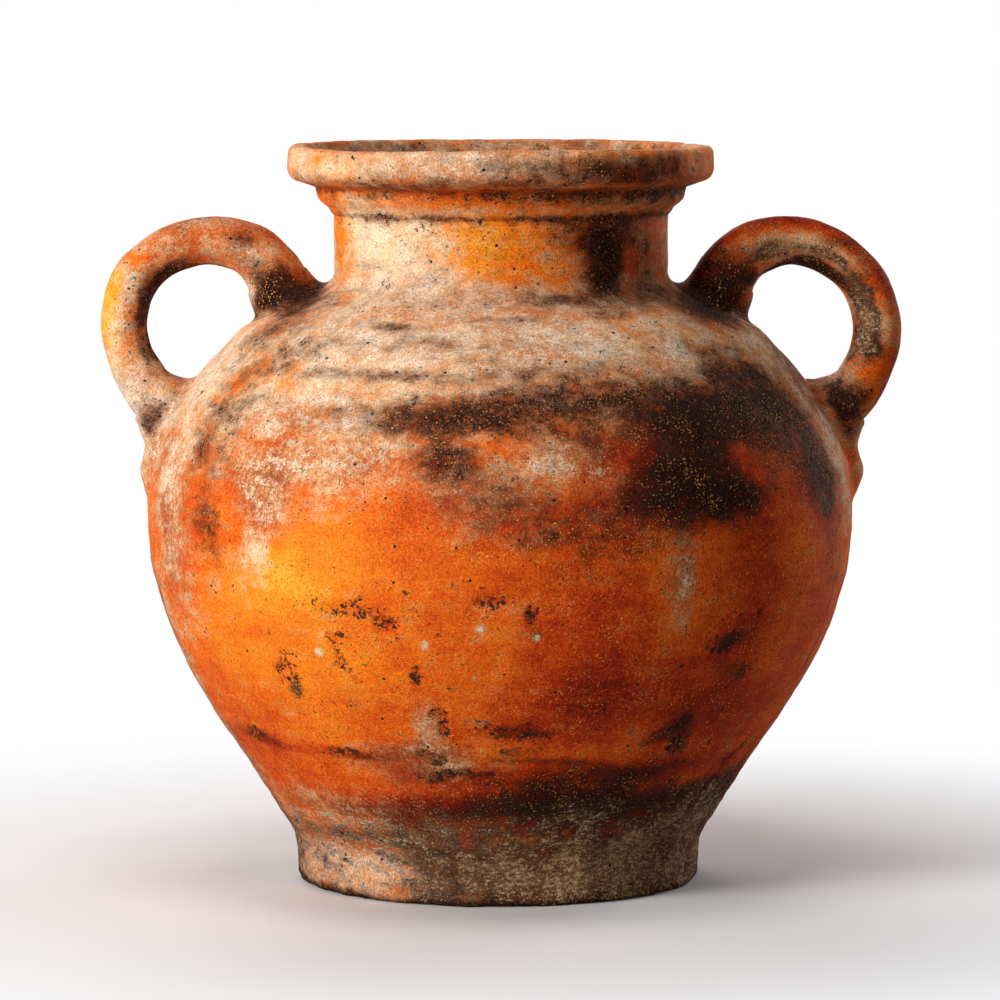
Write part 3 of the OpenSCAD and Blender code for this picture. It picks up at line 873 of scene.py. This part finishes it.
SPLIT_Z = 285        # the root's clay is above this height, and the tail's below it
ROD_SPREAD = 12      # how far smeared clay runs out over the rod, and over the wall
WALL_SPREAD = 16
NO_CLAY = 5.0        # a distance that stands for empty space


def placed(points, side):
    """Points of a right-hand handle as they lie on its own side of the jar."""
    return points * np.array([side, 1, 1])


def rod_distance(line, grid):
    """Signed distance to a rod of clay along a line, over a block of grid points."""
    path = smooth_line(line, ROD_STEPS)
    made = np.full(grid.shape[:3], 60.0)
    origin = grid[0, 0, 0]
    for a, b in zip(path[:-1], path[1:]):
        reach = max(a[2], b[2], a[3], b[3]) + 14
        low = np.array([min(a[0], b[0]), 0, min(a[1], b[1])]) - reach
        high = np.array([max(a[0], b[0]), 0, max(a[1], b[1])]) + reach
        start = np.maximum(((low - origin) / VOXEL).astype(int), 0)
        stop = np.maximum(((high - origin) / VOXEL).astype(int) + 1, 0)
        window = tuple(slice(i, j) for i, j in zip(start, stop))
        p = grid[window]
        made[window] = np.minimum(made[window], segment_distance(a, b, p)[0])
    return made


def segment_distance(a, b, p):
    """Distance to one length of rod, and how far along it the nearest point lies."""
    along = b[:2] - a[:2]
    t = ((p[..., 0] - a[0]) * along[0] + (p[..., 2] - a[1]) * along[1]) / (along @ along)
    t = np.clip(t, 0, 1)
    thick = a[2] + t * (b[2] - a[2])
    wide = a[3] + t * (b[3] - a[3])
    dx = p[..., 0] - a[0] - t * along[0]
    dz = p[..., 2] - a[1] - t * along[1]
    return np.sqrt(dx * dx + dz * dz + (p[..., 1] * thick / wide) ** 2) - thick, t


def on_skin(points, field):
    """Values of a grid over the outside, at the heights and angles of points."""
    angle = np.degrees(np.arctan2(points[..., 0], -points[..., 1]))
    column = (angle + 180) / 360 * COLUMNS
    row = at_height(points[..., 2], np.arange(len(outer.line)))
    r0, c0 = np.floor(row).astype(int), np.floor(column).astype(int)
    fr, fc = row - r0, column - c0
    r1, c0, c1 = np.minimum(r0 + 1, TOP_ROW), c0 % COLUMNS, (c0 + 1) % COLUMNS
    lower = field[r0, c0] * (1 - fc) + field[r0, c1] * fc
    upper = field[r1, c0] * (1 - fc) + field[r1, c1] * fc
    return lower * (1 - fr) + upper * fr


def jar_distance(points, side):
    """Signed distance to the jar's own displaced outside, near it."""
    radius = np.hypot(points[..., 0], points[..., 1])
    wall_r = at_height(points[..., 2], outer.line[:, 0])
    lean = at_height(points[..., 2], outer.normal[:, 0])
    return (radius - wall_r) * lean - on_skin(placed(points, side), OUTER_LIFT)


def soft_union(a, b, reach):
    """Two signed distances as one, with the crease between them filled over reach."""
    h = np.maximum(reach - np.abs(a - b), 0) / reach
    return np.minimum(a, b) - h * h * reach / 4


CUBE_EDGES = [(a, b) for a in CUBE for b in CUBE
              if sum(b) - sum(a) == 1 and all(y >= x for x, y in zip(a, b))]


def skin_of(values, grid):
    """The closed surface where a block of signed distances crosses zero, one point a cell."""
    shape = np.array(values.shape) - 1

    def shifted(corner):
        return values[tuple(slice(c, c + n) for c, n in zip(corner, shape))]

    inside = [shifted(c) < 0 for c in CUBE]
    count = np.sum(inside, axis=0)
    live = (count > 0) & (count < 8)
    cells = np.argwhere(live)
    number = np.full(shape, -1)
    number[live] = np.arange(len(cells))
    total = np.zeros((len(cells), 3))
    hits = np.zeros((len(cells), 1))
    for a, b in CUBE_EDGES:
        va, vb = shifted(a)[live], shifted(b)[live]
        cross = (va < 0) != (vb < 0)
        t = np.where(cross, va / np.where(cross, va - vb, 1), 0)[:, None]
        point = np.array(a) * (1 - t) + np.array(b) * t
        total += point * cross[:, None]
        hits += cross[:, None]
    points = grid[0, 0, 0] + (cells + total / hits) * VOXEL
    faces = []
    for axis in range(3):
        u, v = (axis + 1) % 3, (axis + 2) % 3
        low = [slice(1, n) for n in shape]
        low[axis] = slice(0, shape[axis])
        high = list(low)
        high[axis] = slice(1, shape[axis] + 1)
        a, b = values[tuple(low)] < 0, values[tuple(high)] < 0
        for flip in (False, True):
            at = np.argwhere(~a & b if flip else a & ~b)
            at[:, [u, v]] += 1
            ring = []
            for du, dv in ((0, 0), (-1, 0), (-1, -1), (0, -1)):
                cell = at.copy()
                cell[:, u] += du
                cell[:, v] += dv
                ring.append(number[tuple(cell.T)])
            quad = np.stack(ring, 1)
            faces.append(quad[:, ::-1] if flip else quad)
    return points, np.vstack(faces)


def sample(values, grid, points):
    """A block's values at points between its grid points."""
    at = (points - grid[0, 0, 0]) / VOXEL
    low = np.clip(np.floor(at).astype(int), 0, np.array(values.shape) - 2)
    f = at - low
    made = np.zeros(len(points))
    for corner in CUBE:
        made += np.prod(np.where(corner, f, 1 - f), axis=1) * values[tuple((low + corner).T)]
    return made


def gradient_normals(values, grid, points):
    """Unit normals at points, from a block of signed distances."""
    return unit(np.stack([sample(slope, grid, points) for slope in np.gradient(values)], 1))


def along_rod(line, points):
    """Where points lie on a handle: millimetres along it, and degrees round it from its
    outer side (0) over the front (90) to the side that faces the loop (180)."""
    path = smooth_line(line, ROD_STEPS)
    run = run_along(path[:, :2])
    out = left_normals(path[:, :2])
    best = np.full(len(points), 1e9)
    at, side = np.zeros(len(points)), np.zeros(len(points))
    for i, (a, b) in enumerate(zip(path[:-1], path[1:])):
        far, t = segment_distance(a, b, points)
        near = far < best
        best[near] = far[near]
        at[near] = (run[i] + t * (run[i + 1] - run[i]))[near]
        centre = a[:2] + t[:, None] * (b[:2] - a[:2])
        side[near] = ((points[:, [0, 2]] - centre) @ out[i])[near]
    return at, np.degrees(np.arctan2(-points[:, 1], side)) % 360


# Stains on the handles as (run, degrees round, half length, half turn, strength).
HANDLE_COATS = {
    "left": {
        "firing": [(146, 40, 44, 80, 0.34), (112, 100, 30, 60, -0.06), (190, 60, 28, 110, 0.14),
                   (20, 90, 32, 90, -0.20), (60, 40, 24, 60, -0.10), (150, 270, 50, 60, 0.12)],
        "bloom": [(186, 60, 26, 110, 0.70), (126, 90, 26, 30, 0.20), (96, 30, 30, 50, 0.26),
                  (52, 100, 14, 40, 0.60), (36, 160, 24, 40, 0.75), (142, 36, 42, 60, -0.36),
                  (100, 270, 70, 70, 0.30)],
        "soot": [(122, 160, 56, 66, 0.92), (82, 178, 30, 40, 0.60), (162, 178, 26, 34, 0.60),
                 (22, 90, 30, 70, 0.84), (60, 70, 14, 30, 0.50), (203, 80, 10, 40, 0.60),
                 (100, 120, 12, 16, 0.55), (82, 10, 12, 24, 0.36), (56, 280, 40, 60, 0.50)],
        "crust": [(46, 110, 24, 40, 0.40), (30, 270, 30, 60, 0.30), (168, 130, 20, 30, 0.30)],
    },
    "right": {
        "firing": [(80, 20, 50, 60, -0.28), (136, 20, 54, 56, -0.24), (176, 70, 15, 44, 0.02),
                   (20, 90, 40, 120, -0.20), (120, 270, 50, 60, 0.06), (132, 110, 30, 40, 0.08)],
        "bloom": [(177, 66, 16, 44, -0.60), (78, 30, 60, 70, -0.44), (130, 40, 60, 60, -0.20),
                  (66, 84, 26, 30, 0.30), (140, 120, 34, 44, 0.40), (196, 150, 16, 40, 0.40),
                  (90, 300, 60, 50, 0.30), (20, 180, 24, 40, 0.30)],
        "soot": [(20, 80, 34, 80, 0.96), (92, 140, 30, 44, 0.96), (68, 168, 28, 44, 0.85),
                 (114, 140, 26, 34, 0.70), (40, 130, 16, 50, 0.80), (150, 150, 20, 30, 0.40),
                 (162, 100, 12, 30, 0.60), (196, 90, 15, 60, 0.72), (212, 90, 16, 60, 0.60),
                 (110, 60, 30, 26, 0.30), (40, 260, 40, 60, 0.60), (176, 20, 20, 30, 0.40)],
        "crust": [(64, 100, 30, 34, 0.50), (136, 112, 40, 40, 0.88), (160, 140, 24, 34, 0.70),
                  (100, 96, 26, 20, 0.60), (205, 100, 20, 50, 0.60)],
    },
}


def handle_coat(points, line, side_name, side, from_jar):
    """What coats handle clay: its own stains, passing into the wall's where it meets it, with painted
    shade in the crease of its upper joint.
    """
    run, around = along_rod(line, points)
    ragged = layered(placed(points, side), 26, 60, 4, 0.6)
    made = Coat(points, firing=0.66, bloom=0.40, soot=0.12, grime=0.04)
    for field, stains in HANDLE_COATS[side_name].items():
        values = getattr(made, field)
        for middle, turn, length, half_turn, strength in stains:
            a = (run - middle) / length
            b = turn_between(around, turn) / half_turn
            cover = strength * (1 - ramp(np.hypot(a, b) * (1 + 0.45 * ragged), 0.2, 1.15))
            if field == "firing":
                values += cover
            else:
                lay(values, cover)
    share = ramp(from_jar, 0.5, 8)
    for field in Coat.NAMES:
        below = on_skin(placed(points, side), getattr(OUTER_COAT, field))
        setattr(made, field, share * getattr(made, field) + (1 - share) * below)
    # Painted shade in the crease where the handle's upper end meets the wall, laid as soot.
    crease = np.exp(-((from_jar - 3) / 6) ** 2) * ramp(points[:, 2], 250, 300)
    lay(made.soot, 0.6 * crease * (1 + 0.4 * ragged))
    return made


def shell_of(values, whole, grid):
    """The surface of one piece. It takes its normals from the whole handle's surface where
    it lies on it, so that no seam shows between the pieces."""
    points, faces = skin_of(values, grid)
    for _ in range(2):
        steep = gradient_normals(values, grid, points)
        points = points - steep * sample(values, grid, points)[:, None] * 0.7
    shown = np.abs(sample(whole, grid, points)) < 0.5
    normals = np.where(shown[:, None], gradient_normals(whole, grid, points),
                       gradient_normals(values, grid, points))
    return points, faces, normals


def make_handle(side_name):
    """One handle in three pieces: the pulled rod, its smeared root and its strap tail."""
    side = 1 if side_name == "right" else -1
    line = HANDLE_LINES[side_name]
    axes = [np.arange(low, high, VOXEL) for low, high in zip(*BLOCK)]
    grid = np.stack(np.meshgrid(*axes, indexing="ij"), -1)
    spots = placed(grid, side)
    uneven = 0.5 * layered(spots, 30, 62, 2) + 0.22 * layered(spots, 9, 63, 3)
    rod = rod_distance(line, grid) - uneven
    root = rod_distance(ROOT_LINE, grid) - 1.6 * uneven
    corner = rod_distance(CORNER_LINE, grid)
    tail = rod_distance(TAIL_LINES[side_name], grid) - 1.3 * uneven
    jar = jar_distance(grid, side)
    upper = grid[..., 2] > SPLIT_Z
    limb = soft_union(rod, np.where(upper, root, tail), 4)
    luted = soft_union(soft_union(limb, corner, 9), jar, 6)
    skirt = np.maximum.reduce([luted + SUNK, -rod - BEDDED, -jar - BEDDED,
                               limb - ROD_SPREAD, jar - WALL_SPREAD])
    pieces = {
        "handle_" + side_name: np.maximum(rod, -jar - BEDDED),
        f"handle_{side_name}_root": np.where(upper, skirt, NO_CLAY),
        f"handle_{side_name}_tail": np.where(upper, NO_CLAY, skirt),
    }
    for name, values in pieces.items():
        whole = rod if name == "handle_" + side_name else luted
        points, faces, normals = shell_of(values, whole, grid)
        coat = handle_coat(points, line, side_name, side, sample(jar, grid, points))
        write_mesh(name, placed(points, side), faces[:, ::side], placed(normals, side), coat,
                   "handle_clay")


# ---------------------------------------------------------------- materials

class Shader:
    """A material under construction, with short names for the nodes it needs."""

    def __init__(self, name):
        self.material = bpy.data.materials.new(name)
        self.material.use_nodes = True
        self.tree = self.material.node_tree
        self.surface = self.tree.nodes["Principled BSDF"]
        self.place = self.tree.nodes.new("ShaderNodeTexCoord").outputs["Object"]

    def feed(self, socket, value):
        """Links an output to a socket, or sets the socket to a constant."""
        if isinstance(value, bpy.types.NodeSocket):
            self.tree.links.new(value, socket)
        else:
            socket.default_value = value

    def node(self, kind, **inputs):
        """A new node, with its inputs fed by name."""
        made = self.tree.nodes.new("ShaderNode" + kind)
        for name, value in inputs.items():
            self.feed(made.inputs[name], value)
        return made

    def coat(self, field):
        """What write_mesh stored at the points for one field of the coat."""
        node = self.node("Attribute")
        node.attribute_name = field
        return node.outputs["Fac"]

    def noise(self, size, seed, detail=3, rough=0.55, stretch=(1, 1, 1), warp=0, contrast=2.5):
        """Noise about 0.5, mostly from 0 to 1, with features about size millimetres across."""
        shift = self.node("Mapping", Location=(seed * 3.17, seed * 1.71, seed * 0.93), Scale=stretch,
                          Vector=self.place)
        node = self.node("TexNoise", Scale=1 / (size * MM), Detail=detail, Roughness=rough,
                         Distortion=warp, Vector=shift.outputs[0])
        return self.swing(0.5, node.outputs["Fac"], contrast)

    def dots(self, size, seed):
        """Distance from scattered points, in cells about size millimetres across."""
        shift = self.node("Mapping", Location=(seed, seed * 2.3, seed * 0.7), Vector=self.place)
        return self.node("TexVoronoi", Scale=1 / (size * MM), Vector=shift.outputs[0]).outputs["Distance"]

    def maths(self, operation, a, b=0.0, c=0.0):
        """One step of arithmetic on sockets or numbers."""
        node = self.node("Math")
        node.operation = operation
        for socket, value in zip(node.inputs, (a, b, c)):
            self.feed(socket, value)
        return node.outputs[0]

    def swing(self, value, noise, amount):
        """value plus noise swung about its middle."""
        return self.maths("MULTIPLY_ADD", self.maths("SUBTRACT", noise, 0.5), amount, value)

    def step(self, value, low, high, top=1.0):
        """0 below low, top above high, smooth between."""
        node = self.node("MapRange")
        node.interpolation_type = "SMOOTHSTEP"
        for name, v in (("Value", value), ("From Min", low), ("From Max", high), ("To Max", top)):
            self.feed(node.inputs[name], v)
        return node.outputs["Result"]

    def blend(self, share, below, above, mode="MIX"):
        """One colour laid over another by share."""
        node = self.node("Mix")
        node.data_type = "RGBA"
        node.blend_type = mode
        self.feed(node.inputs["Factor"], share)
        for name, colour in (("A", below), ("B", above)):
            socket = next(s for s in node.inputs if s.name == name and s.type == "RGBA")
            self.feed(socket, colour if isinstance(colour, bpy.types.NodeSocket) else (*colour, 1))
        return next(s for s in node.outputs if s.type == "RGBA")

    def colours(self, value, stops):
        """The colour that a value picks from a ramp of stops."""
        node = self.node("ValToRGB", Fac=value)
        elements = node.color_ramp.elements
        while len(elements) < len(stops):
            elements.new(0.5)
        for element, (at, colour) in zip(elements, stops):
            element.position = at
            element.color = (*colour, 1)
        return node.outputs["Color"]

    def either(self, share, below, above):
        """One shader passing into another by share."""
        node = self.node("MixShader", Fac=share)
        self.feed(node.inputs[1], below)
        self.feed(node.inputs[2], above)
        return node.outputs[0]


FIRED = [  # the clay from charred through red and orange to golden
    (0.0, (0.020, 0.004, 0.003)), (0.15, (0.12, 0.008, 0.002)), (0.30, (0.35, 0.020, 0.002)),
    (0.45, (0.60, 0.058, 0.003)), (0.60, (0.82, 0.135, 0.006)), (0.74, (0.92, 0.220, 0.010)),
    (0.88, (0.96, 0.31, 0.016)), (1.0, (0.98, 0.43, 0.035)),
]
# The tanned clay also shows under the painted sheen down the sides.
TANNED = [  # the same clay where lime has soaked in, from umber to cream
    (0.0, (0.016, 0.007, 0.004)), (0.20, (0.085, 0.030, 0.013)), (0.40, (0.27, 0.095, 0.036)),
    (0.55, (0.50, 0.20, 0.080)), (0.70, (0.70, 0.38, 0.20)), (0.85, (0.84, 0.58, 0.36)),
    (1.0, (0.94, 0.78, 0.56)),
]
# Pale lime dust, also part of the painted sheen down the sides.
DUST_AND_SHEEN = [(0.20, (0.60, 0.38, 0.26)), (0.45, (0.77, 0.55, 0.41)), (0.65, (0.88, 0.70, 0.55)),
        (0.85, (0.96, 0.84, 0.70))]
# Thick soot, also the painted shade in the grooves, the mouth and the handle joints.
CARBON_AND_SHADE = [(0.35, (0.085, 0.034, 0.018)), (0.70, (0.026, 0.010, 0.006)), (1.0, (0.005, 0.003, 0.002))]
SOIL = [(0.20, (0.026, 0.010, 0.006)), (0.55, (0.052, 0.021, 0.011)), (0.95, (0.17, 0.082, 0.044))]
EARTH = [(0.20, (0.13, 0.052, 0.022)), (0.60, (0.40, 0.235, 0.125)), (0.95, (0.70, 0.50, 0.32))]
SAND = [(0.0, (0.74, 0.71, 0.68)), (1.0, (1.28, 1.29, 1.32))]   # dark and light grains
# The thin soot tint also darkens the painted shade laid with the soot.
SMOKED_AND_SHADED = (0.20, 0.125, 0.125)      # what thin soot multiplies the clay's colour by
STRAW_SPECK = (0.80, 0.36, 0.09)
BURNT_SPECK = (0.05, 0.016, 0.010)
PORE = (0.02, 0.010, 0.007)
# Dark dirt in pits and flakes, also painted shade in the grooves under the collar and the lip.
DIRT_AND_SHADE = (0.030, 0.013, 0.008)


def clay(name, roughness):
    """Fired clay under dust, carbon, soil and dirt; the carbon and dirt also paint shade in
    the grooves, the mouth and the handle joints, and the dust paints sheen down the sides.
    Each lies as a thin veil, with a thick part on it that its own grain breaks up, so one
    shows through another."""
    s = Shader(name)
    noises = {
        "grain": s.noise(1.1, 1, 2, 0.6),
        "flecks": s.noise(2.8, 2, 3, 0.7),
        "worn": s.noise(12, 3, 6, 0.70, stretch=(1, 1, 1.7), warp=0.4),
        "charred": s.noise(10, 8, 6, 0.72, stretch=(1, 1, 1.5), warp=0.3),
        "mottle": s.noise(19, 4, 4, 0.6),
        "cloud": s.noise(60, 5, 3, 0.6, warp=0.6),
        "wheel": s.noise(26, 6, 5, 0.62, stretch=(0.4, 0.4, 3.4)),
    }

    def unevenly(value, **amounts):
        """A value swung by some of the noises, each by its own amount."""
        for noise, amount in amounts.items():
            value = s.swing(value, noises[noise], amount)
        return value

    firing = unevenly(s.coat("firing"), cloud=0.14, mottle=0.12, wheel=0.12, worn=0.12)
    firing = unevenly(firing, flecks=0.16, grain=0.18)
    # Lime bloom, with painted sheen in strips down the sides.
    bloom = s.coat("bloom")
    veil = s.step(unevenly(bloom, mottle=0.25, wheel=0.2, worn=0.35), 0.07, 0.60, 0.92)
    tanned = s.colours(unevenly(firing, mottle=0.2, flecks=0.1), TANNED)
    colour = s.blend(veil, s.colours(firing, FIRED), tanned)
    # Thick lime dust, also part of the painted sheen down the sides.
    chalk_and_sheen = s.step(unevenly(bloom, worn=0.78, flecks=0.36, grain=0.24, wheel=0.2), 0.52, 0.92, 0.92)
    colour = s.blend(chalk_and_sheen, colour, s.colours(unevenly(noises["mottle"], flecks=0.8, grain=0.6), DUST_AND_SHEEN))

    # Soot, with painted shade in the grooves, under the lip, in the mouth and at the handle joints.
    soot = s.coat("soot")
    smoke_and_shade = s.step(unevenly(soot, mottle=0.2, wheel=0.25, charred=0.5, flecks=0.15), 0.04, 0.80)
    colour = s.blend(smoke_and_shade, colour, SMOKED_AND_SHADED, "MULTIPLY")
    black = s.step(unevenly(soot, charred=0.65, flecks=0.4, grain=0.6), 0.42, 0.96, 0.95)
    colour = s.blend(black, colour, s.colours(unevenly(soot, mottle=0.5, flecks=0.5), CARBON_AND_SHADE))

    crust = s.coat("crust")
    soil = s.step(unevenly(crust, mottle=0.3, worn=0.6, flecks=0.3), 0.14, 0.66, 0.90)
    colour = s.blend(soil, colour, s.colours(unevenly(crust, charred=0.8, mottle=0.4), SOIL))
    streaks = s.noise(2.6, 11, 4, 0.75, stretch=(0.7, 0.7, 1.6))
    scale = unevenly(s.swing(crust, streaks, 0.9), mottle=0.4, worn=0.5, wheel=0.3, grain=0.5)
    scale = s.step(scale, 0.68, 0.92, 0.90)
    colour = s.blend(scale, colour, s.colours(unevenly(streaks, mottle=0.4, grain=0.6), EARTH))

    straw = unevenly(s.noise(1.1, 21, 2, 0.6), mottle=0.25, charred=0.2, flecks=0.2)
    colour = s.blend(s.step(straw, 0.82, 0.98, 0.85), colour, STRAW_SPECK)
    burnt = unevenly(s.noise(1.9, 22, 2, 0.5), cloud=0.4, worn=0.4)
    colour = s.blend(s.step(burnt, 0.98, 1.12, 0.7), colour, BURNT_SPECK)
    pores = s.maths("MULTIPLY", s.step(s.dots(8.5, 31), 0.13, 0.07), s.step(noises["worn"], 0.5, 0.6))
    colour = s.blend(pores, colour, PORE)

    # Dirt in pits and flakes, with painted shade in the grooves under the collar and the lip.
    dirt_and_shade = s.step(unevenly(s.coat("grime"), flecks=0.9, worn=0.7, grain=0.5), 0.42, 0.66, 0.94)
    colour = s.blend(dirt_and_shade, colour, DIRT_AND_SHADE)
    sand = s.colours(s.noise(0.8, 41, 1, 0.5, contrast=3), SAND)
    s.feed(s.surface.inputs["Base Color"], s.blend(0.9, colour, sand, "MULTIPLY"))
    s.feed(s.surface.inputs["Roughness"], unevenly(roughness, flecks=0.25, mottle=0.2))
    s.feed(s.surface.inputs["Specular IOR Level"], 0.14)

    relief = s.maths("MULTIPLY", noises["grain"], 0.14)
    ridges = s.maths("MULTIPLY", streaks, soil)
    for height, depth in ((noises["flecks"], 0.14), (noises["worn"], 0.16), (scale, 0.25),
                          (ridges, 1.3), (pores, -0.5), (dirt_and_shade, -0.15)):
        relief = s.maths("MULTIPLY_ADD", height, depth, relief)
    bump = s.node("Bump", Strength=0.8, Distance=MM, Height=relief)
    s.feed(s.surface.inputs["Normal"], bump.outputs[0])
    return s.material


def make_floor():
    """A plain white floor. Round the jar it takes its soft shadow, and further out it is
    as white as the backdrop, so that no horizon shows; it throws little light back."""
    bpy.ops.mesh.primitive_plane_add(size=40)
    floor = bpy.context.object
    floor.name = "floor"
    s = Shader("floor")
    s.feed(s.surface.inputs["Base Color"], (0.45, 0.44, 0.43, 1))
    s.feed(s.surface.inputs["Roughness"], 1)
    s.feed(s.surface.inputs["Specular IOR Level"], 0)
    pale = s.node("BsdfDiffuse", Color=(0.86, 0.91, 0.98, 1))
    white = s.node("Emission")
    far = s.node("VectorMath")
    far.operation = "LENGTH"
    s.feed(far.inputs[0], s.place)
    backdrop = s.either(s.step(far.outputs["Value"], 0.22, 0.6), pale.outputs[0], white.outputs[0])
    seen = s.node("LightPath").outputs["Is Camera Ray"]
    shown = s.either(seen, s.surface.outputs[0], backdrop)
    s.feed(s.tree.nodes["Material Output"].inputs["Surface"], shown)
    floor.data.materials.append(s.material)


MATERIALS = {
    name: clay(name, roughness)
    for name, roughness in (("body_clay", 0.78), ("rim_clay", 0.82), ("handle_clay", 0.8),
                            ("foot_clay", 0.88), ("inside_clay", 0.92))
}
make_camera()
make_studio()
make_floor()
make_walls()
corner_coil()
pressed_coil("lower_seam_coil", LOWER_SEAM * CURVE_STEPS, COIL_R)
pressed_coil("belly_seam_coil", BELLY_SEAM * CURVE_STEPS, COIL_R)
pressed_coil("neck_seam_coil", NECK_SEAM * CURVE_STEPS - NECK_COIL_BACK, NECK_COIL_R)
floor_slab()
make_handle("left")
make_handle("right")
